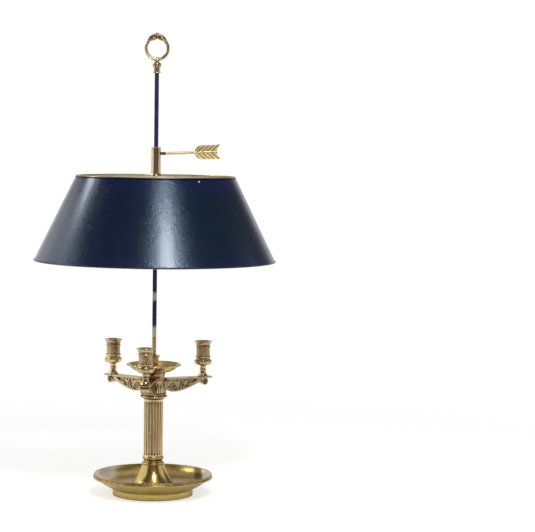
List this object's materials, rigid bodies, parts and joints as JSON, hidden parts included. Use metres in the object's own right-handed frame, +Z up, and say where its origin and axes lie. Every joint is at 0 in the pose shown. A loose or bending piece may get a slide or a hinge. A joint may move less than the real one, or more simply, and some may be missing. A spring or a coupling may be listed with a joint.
{
  "type": "bouillotte lamp",
  "caption": "Brass candle lamp with scrolled arms on a fluted column and a conical metal shade that slides on a square rod and is clamped by an arrow-shaped screw.",
  "frame": {"origin": "centre of the foot ring's resting face, on the lamp's axis", "axes": "+Z up along the rod; -Y is the front; +X is the side the arrow screw points to"},
  "size_m": [0.4033, 0.4034, 0.7725],
  "materials": {
    "polished_brass": "polished, softly worn",
    "aged_brass": "cast and patinated, brown in the recesses",
    "rod_lacquer": "dark lacquer over brass, worn at the foot",
    "shade_paint": "dark blue satin paint outside, cream inside",
    "rim_gilt": "satin",
    "spider_steel": "cream paint",
    "rivet_steel": "bright",
    "steel": "plain"
  },
  "bodies": {
    "base": {"base_tray": "polished_brass", "tie_rod": "steel", "tie_rod_washer": "steel", "tie_rod_nut": "steel", "column_bell": "polished_brass", "column_collar": "polished_brass", "column_shaft": "polished_brass", "column_neck": "polished_brass", "arm_hub": "aged_brass", "arm_screws": "steel", "arm_front": "aged_brass", "arm_right": "aged_brass", "arm_left": "aged_brass", "candle_nozzle_front": "polished_brass", "candle_nozzle_right": "polished_brass", "candle_nozzle_left": "polished_brass", "dish_stem": "aged_brass", "drip_dish": "polished_brass", "rod_socket": "aged_brass", "rod_end": "aged_brass", "shade_rod": "rod_lacquer", "finial_cup": "aged_brass", "finial_ring": "aged_brass"},
    "shade_carriage": {"slide_sleeve": "polished_brass", "spider_disc": "spider_steel", "spider_nut": "aged_brass", "spider_arms": "spider_steel", "shade_shell": "shade_paint", "shade_top_rim": "rim_gilt", "shade_bottom_rim": "rim_gilt", "shade_rivets": "rivet_steel"},
    "clamp_screw": {"arrow_screw": "polished_brass", "arrow_vanes": "polished_brass"}
  },
  "joints": [
    {"name": "shade_height", "type": "slide", "parent": "base", "child": "shade_carriage", "axis": [0, 0, 1], "range_m": [-0.29, 0.12]},
    {"name": "arrow_screw_turn", "type": "hinge", "parent": "shade_carriage", "child": "clamp_screw", "pos_m": [0, 0, 0.5721], "axis": [0.999, 0, 0.0436], "range_deg": [0, 270]}
  ]
}
